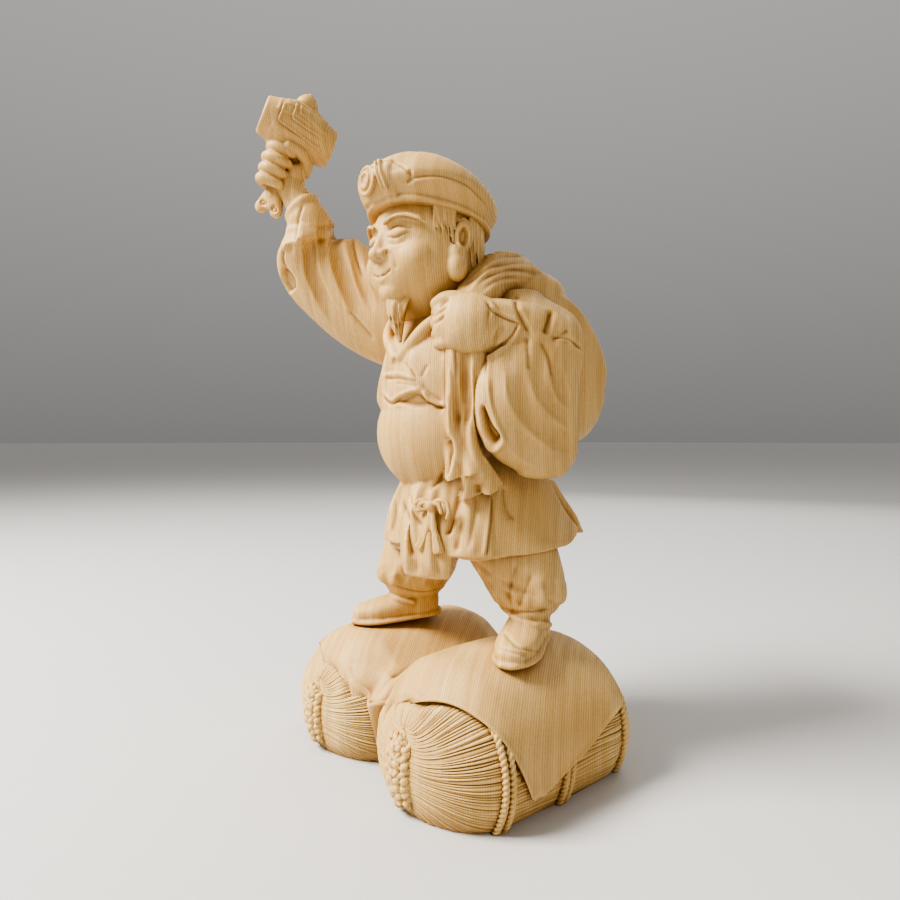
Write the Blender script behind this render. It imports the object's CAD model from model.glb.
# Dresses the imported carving: a wooden Daikoku on two straw bales, with its folds, hair,
# straw, ropes and the grain of the wood. Tables are in millimetres, as in the CAD.
import bpy
import numpy as np
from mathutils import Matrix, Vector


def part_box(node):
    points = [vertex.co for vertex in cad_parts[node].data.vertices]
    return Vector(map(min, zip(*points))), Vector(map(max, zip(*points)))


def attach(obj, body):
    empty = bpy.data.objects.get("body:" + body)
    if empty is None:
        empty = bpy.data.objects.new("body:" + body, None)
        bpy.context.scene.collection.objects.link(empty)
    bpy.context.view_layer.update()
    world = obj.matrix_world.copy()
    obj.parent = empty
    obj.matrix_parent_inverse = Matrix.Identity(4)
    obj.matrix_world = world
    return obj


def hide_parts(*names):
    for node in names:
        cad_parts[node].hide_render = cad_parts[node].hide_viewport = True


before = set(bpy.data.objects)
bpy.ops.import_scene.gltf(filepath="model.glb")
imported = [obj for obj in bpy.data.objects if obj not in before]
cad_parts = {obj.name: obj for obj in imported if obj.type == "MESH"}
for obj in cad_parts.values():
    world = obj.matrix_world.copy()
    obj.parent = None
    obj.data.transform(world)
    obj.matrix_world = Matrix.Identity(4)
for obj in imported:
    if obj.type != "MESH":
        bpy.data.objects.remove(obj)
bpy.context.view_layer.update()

NODE = "daikoku_figure"
LOW, HIGH = (np.array(corner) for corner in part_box(NODE))

# Driving sizes, in millimetres
BLOCK_HEIGHT = 281.87  # underside to the top of the mallet
FIGURE_BACK = 4.0  # the figure stands this far behind the middle of the bales
BALE_RADIUS = 33.0
BALE_LENGTH = 100.0
BALE_DOME = 24.0
BALE_X = 31.0
BALE_AXIS_HEIGHT = 16.5
BALE_SAG = 0.14
RIGHT_BALE_HEIGHT = 0.94
ROPE_PLACES = (-29.0, 0.0, 34.0)
HEM_CORNER = 34.0  # where the skirt's hem rises to its rear corner, in degrees from +X
HEM_RISE = 7.0
BOW_PLACE = np.array([18.0, -29.2, 53.0])
BOW_TURN = 21.0
RUFFLE_DEPTH = 2.4
CAP_TIP = 0.14  # how much the cap rises for each millimetre forwards
CAP_MIDDLE = -17.0
CLOTH_THICKNESS = 1.6
CLOTH_REACH = 95.0
CLOTH_TIP_FORWARD = 17.0
CLOTH_TIP_ROUND = 0.07
CLOTH_FRONT = 45.0
CLOTH_BACK = 38.0
CLOTH_FRONT_TURN = 0.44  # the share of the reach where the front edge turns towards the tip
CLOTH_BACK_TURN = 0.77
CLOTH_CORNER = 2.0
STRANDS = 160  # of straw, round each bale
DRUM_LENGTH = 31.0
PADDLE_TURN = 50.0
PLATE_STEP = 0.5
FIST_SCALE = 0.9
SOLE_HEIGHT = BALE_AXIS_HEIGHT + BALE_RADIUS + CLOTH_THICKNESS
BODY_LENGTH = BALE_LENGTH - 2 * BALE_DOME
STAND = np.array([0.0, FIGURE_BACK, SOLE_HEIGHT])  # from the figure's tables to the block's

# One of the tables' millimetres in metres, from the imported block's height
MM = (HIGH[2] - LOW[2]) / BLOCK_HEIGHT

# The camera, where the photograph was taken from
EYE = np.array([216.7, -177.2, 129.0])
EYE_AZIMUTH = np.radians(51.0)
EYE_PITCH = np.radians(-0.87)
PHOTO_WIDTH = 900.0
SENSOR_WIDTH = 36.0
LENS = 26.4


def spline(rows, share):
    """Points on a smooth curve through rows: between two rows it is the cubic whose slope at
    each is half the step between that row's neighbours."""
    rows = np.asarray(rows, float)
    padded = np.vstack([2 * rows[0] - rows[1], rows, 2 * rows[-1] - rows[-2]])
    place = np.clip(share, 0, 1) * (len(rows) - 1)
    span = np.minimum(place.astype(int), len(rows) - 2)
    w = (place - span)[:, None]
    a, b, c, d = (padded[span + k] for k in range(4))
    return 0.5 * (2 * b + (c - a) * w + (2 * a - 5 * b + 4 * c - d) * w**2 + (3 * b - a - 3 * c + d) * w**3)


def xyz(x, y, z):
    """Points from three coordinates, each an array or one number for all."""
    return np.stack(np.broadcast_arrays(x, y, z), -1)


def unit(vectors):
    """Vectors divided by their length."""
    return vectors / np.maximum(np.linalg.norm(vectors, axis=-1, keepdims=True), 1e-9)


def fade(x):
    """A smooth step from 0 at x = 0 to 1 at x = 1: three x squared less two x cubed."""
    x = np.clip(x, 0, 1)
    return x * x * (3 - 2 * x)


def closed_grid(rings):
    """Points and faces of a closed skin over a stack of rings, with a pole at either end.
    The rings' order is turned round where the skin would enclose a negative volume."""
    count, around = rings.shape[:2]
    points = np.vstack([rings.reshape(-1, 3), rings[0].mean(0), rings[-1].mean(0)])
    i, j = np.meshgrid(np.arange(count - 1), np.arange(around), indexing="ij")
    k = (j + 1) % around
    quads = np.stack([i * around + j, i * around + k, (i + 1) * around + k, (i + 1) * around + j], -1)
    quads = quads.reshape(-1, 4)
    j, k = np.arange(around), (np.arange(around) + 1) % around
    last = (count - 1) * around
    start = np.stack([np.full(around, len(points) - 2), k, j], -1)
    end = np.stack([np.full(around, len(points) - 1), last + j, last + k], -1)
    triangles = np.vstack([quads[:, [0, 1, 2]], quads[:, [0, 2, 3]], start, end])
    a, b, c = (points[triangles[:, n]] for n in range(3))
    if np.einsum("ij,ij->", a, np.cross(b, c)) < 0:
        triangles = triangles[:, ::-1]
    return points, triangles


def fold_lift(folds, t, angle):
    """How far folds lift a skin at share t and turn angle: each fold (first and last share,
    first and last angle, width, height) is a bell-shaped ridge, or a valley where its height
    is negative, whose middle runs from angle to angle and which fades at its two ends."""
    lift = np.zeros(np.broadcast(t, angle).shape)
    for start, stop, first, last, width, height in folds:
        middle = np.interp(t, (start, stop), (first, last))
        along = (t - start) / (stop - start)
        ends = fade(along * 5 + 0.1) * fade((1 - along) * 5 + 0.1) * ((along >= 0) & (along <= 1))
        away = (angle - middle + 180) % 360 - 180
        lift = lift + height * ends * np.exp(-((away / width) ** 2))
    return lift


def loft(rows, level=False, turn=0.0, square=2.0, folds=(), caps=(0.5, 0.5), around=96, step=0.8):
    """A skin over rings along a smooth path. A row is x, y, z and the half sizes a and b, in
    the figure's millimetres. Level rings lie flat, others stand square to the path with a
    towards the top. A ring is a circle flattened to a power, and each end is domed by its
    cap's share of the smaller half size."""
    rows = np.asarray(rows, float)
    length = np.linalg.norm(np.diff(rows[:, :3], axis=0), axis=1).sum()
    t = np.linspace(0, 1, max(12, int(length / step)))
    line = spline(rows, t)
    place, a, b = line[:, :3], line[:, 3], line[:, 4]
    along = unit(np.gradient(place, axis=0))
    up = np.array([0.0, 0.0, 1.0])
    if level:
        along = np.broadcast_to(up, place.shape)
        first = np.broadcast_to([np.cos(np.radians(turn)), np.sin(np.radians(turn)), 0], place.shape)
    else:
        first = unit(up - along * along[:, 2:])
    second = np.cross(along, first)

    domes = []
    for end, cap in zip((0, -1), caps):
        rise = np.radians(np.linspace(15, 85, 8 if cap else 0))
        domes.append(np.stack([np.cos(rise), np.sin(rise) * cap * min(a[end], b[end])], 1))
    index = np.concatenate([[0] * len(domes[0]), np.arange(len(t)), [-1] * len(domes[1])]).astype(int)
    shrink = np.concatenate([domes[0][::-1, 0], np.ones(len(t)), domes[1][:, 0]])[:, None]
    shift = np.concatenate([-domes[0][::-1, 1], np.zeros(len(t)), domes[1][:, 1]])[:, None]

    angle = np.arange(around) / around * 360
    c, s = np.cos(np.radians(angle)), np.sin(np.radians(angle))
    bulge = (np.abs(c) ** square + np.abs(s) ** square) ** (-1 / square)
    lift = fold_lift(folds, t[index][:, None], angle[None, :]) * shrink
    across = a[index][:, None] * c * bulge * shrink + lift * c
    deep = b[index][:, None] * s * bulge * shrink + lift * s
    middle = place[index] + along[index] * shift
    skin = middle[:, None] + first[index][:, None] * across[..., None]
    return closed_grid(skin + second[index][:, None] * deep[..., None] + STAND)


def axes_of(turn, lean=0.0):
    """Three axes that were leaned about X and then turned about Z, in degrees."""
    c, s = np.cos(np.radians(lean)), np.sin(np.radians(lean))
    leaned = np.array([[1, 0, 0], [0, c, s], [0, -s, c]])
    c, s = np.cos(np.radians(turn)), np.sin(np.radians(turn))
    return leaned @ np.array([[c, s, 0], [-s, c, 0], [0, 0, 1]])


def lump(place, radii, turn=0.0, lean=0.0, around=48):
    """An ellipsoid, leaned about X and then turned about Z, in degrees."""
    rise = np.radians(np.linspace(-88, 88, around // 2))[:, None]
    angle = np.radians(np.arange(around) / around * 360)[None, :]
    skin = xyz(np.cos(rise) * np.cos(angle), np.cos(rise) * np.sin(angle), np.sin(rise)) * radii
    return closed_grid(skin @ axes_of(turn, lean) + place + STAND)


def placed(part, origin, first, second, third):
    """A part made round the figure's zero, put at origin with its axes along the three given."""
    points, faces = part
    return (points - STAND) @ np.stack([first, second, third]) + origin + STAND, faces


def joined(parts):
    """Several skins as one list of points and faces."""
    offset = np.cumsum([0] + [len(points) for points, _ in parts[:-1]])
    return (np.vstack([points for points, _ in parts]),
            np.vstack([faces + n for n, (_, faces) in zip(offset, parts)]))


def mesh_of(name, points, faces):
    """A mesh from arrays of points in millimetres and faces."""
    mesh = bpy.data.meshes.new(name)
    size = faces.shape[1]
    mesh.vertices.add(len(points))
    mesh.vertices.foreach_set("co", (points * MM).ravel())
    mesh.loops.add(faces.size)
    mesh.loops.foreach_set("vertex_index", faces.ravel())
    mesh.polygons.add(len(faces))
    mesh.polygons.foreach_set("loop_start", np.arange(len(faces)) * size)
    mesh.update(calc_edges=True)
    return mesh


def arrays_of(mesh):
    """The points in millimetres and the triangles of a mesh."""
    points = np.empty(len(mesh.vertices) * 3)
    mesh.vertices.foreach_get("co", points)
    mesh.calc_loop_triangles()
    faces = np.empty(len(mesh.loop_triangles) * 3, int)
    mesh.loop_triangles.foreach_get("vertices", faces)
    return points.reshape(-1, 3) / MM, faces.reshape(-1, 3)


def through_modifier(points, faces, kind, **settings):
    """Points and triangles after one modifier has been applied to them."""
    mesh = mesh_of("work", points, faces)
    work = bpy.data.objects.new("work", mesh)
    bpy.context.scene.collection.objects.link(work)
    modifier = work.modifiers.new("step", kind)
    for setting, value in settings.items():
        setattr(modifier, setting, value)
    ready = bpy.data.meshes.new_from_object(work.evaluated_get(bpy.context.evaluated_depsgraph_get()))
    result = arrays_of(ready)
    bpy.data.objects.remove(work)
    bpy.data.meshes.remove(mesh)
    bpy.data.meshes.remove(ready)
    return result


def edges_of(faces):
    """Each edge of the triangles once, as two columns of point numbers."""
    pairs = np.sort(np.vstack([faces[:, [0, 1]], faces[:, [1, 2]], faces[:, [2, 0]]]), axis=1)
    keys = np.unique(pairs[:, 0].astype(np.int64) << 32 | pairs[:, 1])
    return np.stack([keys >> 32, keys & 0xFFFFFFFF], 1)


def eased(values, edges, rounds):
    """Values moved halfway to the mean of their neighbours along the edges, so many rounds."""
    values = np.array(values, float)
    flat = values.ndim == 1
    if flat:
        values = values[:, None]
    count = len(values)
    a, b = edges.T
    near = np.maximum(np.bincount(a, minlength=count) + np.bincount(b, minlength=count), 1)
    for _ in range(rounds):
        for n in range(values.shape[1]):
            column = values[:, n]
            mean = (np.bincount(a, column[b], count) + np.bincount(b, column[a], count)) / near
            values[:, n] = (column + mean) / 2
    return values[:, 0] if flat else values


def normals_of(points, faces):
    """Unit normals at the points, as the sum of their triangles' normals."""
    a, b, c = (points[faces[:, n]] for n in range(3))
    flat = np.cross(b - a, c - a)
    total = np.zeros_like(points)
    for n in range(3):
        for axis in range(3):
            total[:, axis] += np.bincount(faces[:, n], flat[:, axis], len(points))
    return unit(total)


def welded(parts, voxel, rounds):
    """One skin over overlapping solids: they are remeshed together in cubes of the voxel's
    size, in millimetres, and the steps of the cubes are smoothed away."""
    points, faces = through_modifier(*joined(parts), "REMESH", mode="VOXEL", voxel_size=voxel * MM)
    return eased(points, edges_of(faces), rounds), faces


def photo_view(points):
    """Where points fall in the photograph: columns and rows in its pixels, the depth, the size
    of a pixel there in millimetres, and the unit way towards the camera."""
    forward = np.array([-np.sin(EYE_AZIMUTH), np.cos(EYE_AZIMUTH), np.tan(EYE_PITCH)])
    forward = unit(forward)
    right = np.array([np.cos(EYE_AZIMUTH), np.sin(EYE_AZIMUTH), 0.0])
    down = np.cross(forward, right)
    away = points - EYE
    depth = away @ forward
    focal = LENS / SENSOR_WIDTH * PHOTO_WIDTH
    column = PHOTO_WIDTH / 2 + focal * (away @ right) / depth
    row = PHOTO_WIDTH / 2 + focal * (away @ down) / depth
    return column, row, depth, depth / focal, -unit(away)


def level_view(azimuth):
    """A view along the ground, with 0 towards +Y, in the figure's own millimetres: across to
    the right, and down from the soles."""
    turn = np.radians(azimuth)
    right = np.array([np.cos(turn), np.sin(turn), 0.0])
    forward = np.array([-np.sin(turn), np.cos(turn), 0.0])

    def view(points):
        local = points - STAND
        return local @ right, -local[:, 2], local @ forward, np.ones(len(points)), -forward

    return view


def enlarged(corner, zoom, strokes):
    """Strokes drawn on a part of the photograph that was enlarged from a corner pixel."""
    corner = np.array(corner, float)
    return [(kind, width, height, corner + np.array(path) / zoom) for kind, width, height, path in strokes]


def upright(strokes):
    """Strokes drawn with heights above the soles, in a view that counts downwards."""
    return [(kind, width, height, np.array(path) * [1, -1]) for kind, width, height, path in strokes]


def near_path(places, path):
    """For each place the distance to a smooth path, its side, with 1 on the left as drawn,
    and its share of the path's length."""
    line = spline(path, np.linspace(0, 1, 12 * (len(path) - 1)))
    start, step = line[:-1], np.diff(line, axis=0)
    reach = places[:, None] - start
    size = np.maximum((step**2).sum(1), 1e-9)
    w = np.clip((reach * step).sum(2) / size, 0, 1)
    gap = reach - w[..., None] * step
    away = (gap**2).sum(2)
    best = away.argmin(1)
    rows = np.arange(len(places))
    side = step[best, 0] * gap[rows, best, 1] - step[best, 1] * gap[rows, best, 0]
    return np.sqrt(away[rows, best]), -np.sign(side), (best + w[rows, best]) / len(step)


def inside(places, path):
    """Whether places lie inside a closed path: a ray from each crosses it an odd number of times."""
    line = spline(np.vstack([path, path[:1]]), np.linspace(0, 1, 10 * len(path)))
    (x0, y0), (x1, y1) = line[:-1].T, line[1:].T
    x, y = places[:, :1], places[:, 1:]
    crosses = (y0 > y) != (y1 > y)
    at = x0 + (y - y0) * (x1 - x0) / np.where(y1 == y0, 1e-9, y1 - y0)
    return (crosses & (x < at)).sum(1) % 2 == 1


def stroke_shape(kind, x, side, share):
    """How a tool leaves the wood at x widths from its path, fading in and out along the path's
    share. A groove is a sharp valley, minus the power 1.7 of one less x. A ridge is a rounded
    bead. A flute is the hollow of a gouge, x squared less one, with low rims. An edge stands
    up on its left and is undercut on its right."""
    body = np.clip(1 - x, 0, 1)
    speed, start = (2.6, 0.05) if kind == "flute" else (6, 0.15)
    taper = fade(share * speed + start) * fade((1 - share) * speed + start)
    if kind == "groove":
        return -body**1.7 * taper
    if kind == "ridge":
        return fade(body) * taper
    if kind == "flute":
        rim = 0.2 * np.exp(-(((x - 1.15) / 0.25) ** 2))
        return (rim - np.clip(1 - x**2, 0, 1)) * taper
    raised = fade(0.5 + 2.4 * x * side)
    undercut = 0.8 * np.clip(1 - 1.5 * x, 0, 1) ** 1.5
    return (raised * 0.6 * body - (1 - raised) * undercut) * taper


def unhidden(column, row, depth):
    """1 where a point is the nearest of its cell of the view, give or take HIDING_SLACK."""
    i = ((column - column.min()) / VIEW_CELL).astype(int)
    j = ((row - row.min()) / VIEW_CELL).astype(int)
    key = i * (j.max() + 1) + j
    nearest = np.full(key.max() + 1, np.inf)
    np.minimum.at(nearest, key, depth)
    return (depth < nearest[key] + HIDING_SLACK).astype(float)


def carved(points, faces, view, strokes):
    """Points pushed along their normals by a view's strokes, each (kind, width and height in
    millimetres, path), where the skin faces the view and nothing stands before it. A pocket
    is lowered inside its closed path, more and more up to its width from the rim."""
    normals = normals_of(points, faces)
    column, row, depth, pixel, toward = view(points)
    facing = fade(((normals * toward).sum(1) + PAST_EDGE) / FULL_GRIP)
    reach = facing * unhidden(column, row, depth)
    push = np.zeros(len(points))
    places = np.stack([column, row], 1)
    for kind, width, height, path in strokes:
        path = np.array(path, float)
        span = width / pixel.min()
        near = ((places > path.min(0) - span) & (places < path.max(0) + span)).all(1)
        near = np.flatnonzero(near & (reach > 0))
        line = np.vstack([path, path[:1]]) if kind == "pocket" else path
        gap, side, share = near_path(places[near], line)
        x = gap * pixel[near] / width
        if kind == "pocket":
            push[near] -= height * fade(np.clip(x, 0, 1) * inside(places[near], path))
        else:
            push[near] += height * stroke_shape(kind, x, side, share)
    return points + normals * eased(push * reach, edges_of(faces), 2)[:, None]


def recess_of(points, faces, rounds, size):
    """How deep each point lies in a hollow and how far it stands out on a crest, both from 0
    to 1: how far the skin would rise or sink there if it were smoothed, over the size."""
    soft = eased(points, edges_of(faces), rounds)
    rise = ((soft - points) * normals_of(points, faces)).sum(1)
    return np.clip(rise / size, 0, 1), np.clip(-rise / size, 0, 1)


def piece_of(name, points, faces, material, rounds=5, size=0.26):
    """A finished piece of the carving, which stands for the block's node."""
    mesh = mesh_of(name, points, faces)
    mesh.polygons.foreach_set("use_smooth", np.ones(len(faces), bool))
    for key, values in zip(("hollow", "crest"), recess_of(points, faces, rounds, size)):
        mesh.attributes.new(key, "FLOAT", "POINT").data.foreach_set("value", values)
    mesh.materials.append(material)
    piece = bpy.data.objects.new(name, mesh)
    bpy.context.scene.collection.objects.link(piece)
    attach(piece, "root")
    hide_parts(NODE)


def thinned(points, faces, most):
    """The skin with no more triangles than most, its flattest edges taken out first."""
    if len(faces) <= most:
        return points, faces
    return through_modifier(points, faces, "DECIMATE", ratio=most / len(faces))


def bale_radius(place):
    """The radius of a bale at places along its axis: straight, with elliptic straw ends."""
    past = np.clip((np.abs(place) - BODY_LENGTH / 2) / BALE_DOME, 0, 1)
    return BALE_RADIUS * np.sqrt(1 - past**2)


def bale_sag(side, place):
    """The share of its height that a bale keeps: one less a share of the place squared."""
    return np.where(side < 0, RIGHT_BALE_HEIGHT, 1.0) * (1 - BALE_SAG * (2 * place / BALE_LENGTH) ** 2)


def over_curve(side, angle):
    """How far over a bale's curve from the valley a turn angle lies, and minus its own size
    below the axis."""
    outward = np.arccos(np.clip(side * np.cos(angle), -1, 1))
    valley = np.arccos(BALE_X / (BALE_RADIUS + CLOTH_THICKNESS))
    return np.where(np.sin(angle) > 0, BALE_RADIUS * (np.pi - valley - outward), -BALE_RADIUS)


def cloth_edge(s, facing):
    """The front (-1) or back (+1) edge of the cloth at places over the bales' curve: level in
    the middle, with a corner in the valley, and straight on to the rounded side tip."""
    turn, depth = (CLOTH_FRONT_TURN, CLOTH_FRONT) if facing < 0 else (CLOTH_BACK_TURN, CLOTH_BACK)
    share = np.clip((np.abs(s) / CLOTH_REACH - turn) / (1 - turn), 0, 1)
    corner = CLOTH_CORNER * np.exp(-((s / (BALE_RADIUS / 3)) ** 2))
    left = 1 - share
    rounded = np.sqrt(left * (left + CLOTH_TIP_ROUND) / (1 + CLOTH_TIP_ROUND))
    return facing * ((depth + corner) * rounded + 1.5 * share) - CLOTH_TIP_FORWARD * share


def under_cloth(side, angle, place, margin):
    """From 0 outside the cloth's edges to 1 at a margin within them."""
    s = over_curve(side, angle)
    within = np.minimum(place - cloth_edge(s, -1), cloth_edge(s, 1) - place)
    return fade(np.minimum(within, s) / margin)


def bale_skin(side, angle, place, lift, stretch=0.0):
    """Points over a bale: on its straight part a circle, and on its ends an ellipsoid, whose
    rings can be stretched upwards near the pole. The lift is along the normal."""
    radius = bale_radius(place)
    close = 1 - radius / BALE_RADIUS
    x = radius * np.cos(angle)
    z = np.hypot(radius, stretch * BALE_RADIUS * fade(close)) * np.sin(angle)
    size = np.minimum((x**2 + z**2) / BALE_RADIUS**2, 1)
    dome = BALE_DOME * np.sqrt(1 - size)
    past = np.abs(place) > BODY_LENGTH / 2
    y = np.where(past, np.sign(place) * (BODY_LENGTH / 2 + dome), place)
    slope = np.where(past, np.sign(place) * dome / BALE_DOME**2, 0)
    normal = unit(xyz(x / BALE_RADIUS**2, slope, z / BALE_RADIUS**2))
    over = xyz(x, y, z) + normal * np.asarray(lift)[..., None]
    rise = BALE_AXIS_HEIGHT + over[..., 2] * bale_sag(side, over[..., 1])
    return xyz(side * BALE_X + over[..., 0], over[..., 1], rise)


def straw_bale(side):
    """A bale of straw. Each strand is a rounded ridge between two grooves that waver, and
    towards the middle of an end every second groove closes, so that strands merge in pairs."""
    random = np.random.default_rng(20 + side)
    rise = np.radians(np.linspace(3, 86, 24))
    end = BODY_LENGTH / 2 + BALE_DOME * np.cos(rise)
    place = np.concatenate([-end, np.linspace(-1, 1, 22) * BODY_LENGTH / 2, end[::-1]])[:, None]
    k = np.arange(STRANDS)[None, :]
    waver = 0.34 * np.sin(place / random.uniform(4, 14, STRANDS) + random.uniform(0, 6.3, STRANDS))
    groove = (k + random.uniform(-0.3, 0.3, STRANDS) + waver) / STRANDS * 2 * np.pi
    following = np.roll(groove, -1, axis=1)
    following[:, -1] += 2 * np.pi
    share = np.array([0.04, 0.28, 0.52, 0.76])
    angle = groove[..., None] + share * (following - groove)[..., None]

    fineness = bale_radius(place) / BALE_RADIUS
    limit = np.where(k % 2, 0.62, np.where(k % 4, 0.34, 0.12))
    kept = fade((fineness - limit) / 0.16 + 0.5)
    ridge = random.uniform(0.25, 0.6, STRANDS) + 0.14 * np.sin(place / 7 + random.uniform(0, 6.3, STRANDS))
    crown = np.array([0, 0.86, 1, 0.86])
    lift = ridge[..., None] * crown
    lift[..., 0] = (1 - kept) * 0.8 * ridge - kept * random.uniform(0.0, 0.6, STRANDS)
    angle = angle.reshape(len(place), -1)
    lift = lift.reshape(len(place), -1) * np.minimum(1, fineness * 2.2)
    lift = lift - 2.0 * under_cloth(side, angle, place, 3)
    skin = bale_skin(side, angle, place + 0 * angle, lift - 0.2, 0.5)
    skin[..., 2] = np.maximum(skin[..., 2], 0)
    return closed_grid(skin)


def tube(path, out, radius, depth, around=14, lobes=2, pitch=5.2, phase=0.0):
    """A twisted cord along a path: its section has lobes, between which its radius falls by
    the share called depth, and it turns once in each pitch. Small rings close its ends."""
    along = unit(np.gradient(path, axis=0))
    first = unit(out - along * (out * along).sum(1, keepdims=True))
    second = np.cross(along, first)
    length = np.concatenate([[0], np.cumsum(np.linalg.norm(np.diff(path, axis=0), axis=1))])
    angle = (np.arange(around) / around * 2 * np.pi)[None, :]
    twist = (length / pitch * 2 * np.pi + phase)[:, None]
    lobe = 1 - depth + depth * np.abs(np.cos(lobes / 2 * (angle - twist)))
    size = np.broadcast_to(radius, len(path))[:, None] * lobe
    skin = path[:, None] + first[:, None] * (size * np.cos(angle))[..., None]
    return closed_grid(skin + second[:, None] * (size * np.sin(angle))[..., None])


def twisted_rope(side, place, shift):
    """One twisted straw rope round a bale, shifted from its pair's place. It lies half sunk in
    the straw and deeper under the cloth: a tube along the bale's curve from table to table."""
    angle = np.radians(np.linspace(-34, 214, 520))
    wander = place + shift + 0.12 * np.sin(angle * 5 + place + shift)
    sunk = under_cloth(side, angle, wander, 4)
    path = bale_skin(side, angle, wander, 0.9 - 3.4 * sunk)
    outer = bale_skin(side, angle, wander, 3.0)
    rope = tube(path, outer - path, 1.4, pitch=3.8, depth=0.42, phase=1.3 * shift)
    rope[0][:, 2] = np.maximum(rope[0][:, 2], 0)
    return rope


def end_knot(side, facing):
    """The knot that closes an end of a bale: three plaits side by side. Each cord of a plait is
    a wave across the end, with a wave of twice its turns up and down through the others."""
    cords = []
    turn = np.linspace(0, 2 * np.pi * 4.2, 170)
    for plait in (-1, 0, 1):
        for start in np.arange(3) * 2 * np.pi / 3:
            rise = np.linspace(-15, 13 - 2 * abs(plait), len(turn))
            rise = rise + 0.9 * np.sin(turn * 1.9 + start + plait)
            bow = 3.1 * plait * (1 - 0.0012 * (rise - 2) ** 2)
            across = bow + 1.9 * np.sin(turn + start + plait)
            depth = np.sqrt(np.clip(1 - (across**2 + rise**2) / BALE_RADIUS**2, 0.05, 1))
            weave = 1.1 * np.sin(2 * (turn + start + plait)) - 0.7 * plait**2
            place = facing * (BODY_LENGTH / 2 + BALE_DOME * depth + 0.4 + weave)
            height = BALE_AXIS_HEIGHT + rise * bale_sag(side, place)
            path = xyz(side * BALE_X + across, place, np.maximum(height, 1.2))
            out = np.broadcast_to([0.0, facing, 0.0], path.shape)
            size = 1.3 + 0.25 * np.sin(turn * 3.1 + start * 2)
            cords.append(tube(path, out, size, around=12, lobes=4, pitch=11 * side, depth=0.2, phase=start))
    return joined(cords)


def cloth_skin(s, y, lift):
    """The cloth's skin over the bales. s runs over their curve from the valley and y from front
    to back: on the ends it follows the straw, and in the valley it hangs in two soft folds."""
    side = np.where(s < 0, -1.0, 1.0)
    valley = np.arccos(np.minimum(1, BALE_X / (BALE_RADIUS + lift)))
    angle = np.pi - valley - np.abs(s) / BALE_RADIUS
    past = np.maximum(0, np.abs(y) - BODY_LENGTH / 2)
    out = BODY_LENGTH / 2 + BALE_DOME * np.sin(np.minimum(1.2, past / BALE_DOME))
    place = np.where(past > 0, out, np.abs(y))
    radius = bale_radius(place) + lift
    fillet = BALE_RADIUS / 9 * np.exp(-((s / (BALE_RADIUS / 4)) ** 2))
    rise = BALE_AXIS_HEIGHT + radius * np.sin(angle) * bale_sag(side, place) + fillet
    over = xyz(side * (BALE_X + radius * np.cos(angle)), np.sign(y) * place, rise)

    width = BALE_RADIUS / 2.4
    hang = np.exp(-((s / width) ** 2)) * fade(past / (BALE_DOME / 3))
    top = BALE_AXIS_HEIGHT + BALE_RADIUS * np.sin(valley) + fillet
    fold = np.cos(2 * np.pi * s / width)
    reach = BODY_LENGTH / 2 + 0.62 * past + 2.2 * fade((past - 2) / (BALE_DOME - 2)) * fold
    drop = np.maximum(0, past - BALE_DOME / 4) ** 1.35 * 0.25
    free = xyz(s * 0.8, np.sign(y) * (reach + np.minimum(lift, 2)), top + np.abs(s) * 0.4 - drop)
    return over + (free - over) * hang[..., None]


def laid_cloth():
    """The cloth laid corner-wise over both bales: a thick sheet whose edge stands a little
    proud in a rounded rim, and whose underside sinks into the straw."""
    cells = 96
    share = np.concatenate([[-1.012], np.linspace(-1, 1, 190), [1.012]])[:, None]
    s = share * CLOTH_REACH
    across = fade(np.linspace(0, 1, cells))[None, :]
    front, back = cloth_edge(s, -1), cloth_edge(s, 1)
    waver = 0.35 * np.sin(s / 5.3) + 0.25 * np.sin(s / 2.9 + 1)
    y = front + waver + (back - front) * across
    inset = np.minimum(y - front, back - y)
    rim = 0.55 * np.exp(-((inset - 1.2) / 1.1) ** 2)
    ripple = 0.16 * np.sin(s / 6 + y / 15) + 0.1 * np.sin(s / 3.1 - y / 9)
    edge = np.clip(inset / 0.5, 0, 1) ** 0.5
    top = cloth_skin(s, y, CLOTH_THICKNESS * (0.35 + 0.65 * edge) + rim + ripple)
    under = cloth_skin(s, y, -2.4 + 0 * y)
    skin = np.concatenate([under, top[:, ::-1]], axis=1)
    middle = skin[[0, -1]].mean(1, keepdims=True)
    skin[[0, -1]] = middle + (skin[[0, -1]] - middle) * 0.02
    return closed_grid(skin)


def valley_web():
    """The web of wood in the foot of the valley: an upright slab with rounded corners, cut
    off level with the table."""
    rows = [[0, y - FIGURE_BACK, 4 - SOLE_HEIGHT, 22, width]
            for y, width in ((-30, 5), (-20, 8), (20, 8), (30, 5))]
    points, faces = loft(rows, square=3.5, caps=(0.3, 0.3))
    points[:, 2] = np.maximum(points[:, 2], 0)
    return points, faces


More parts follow.
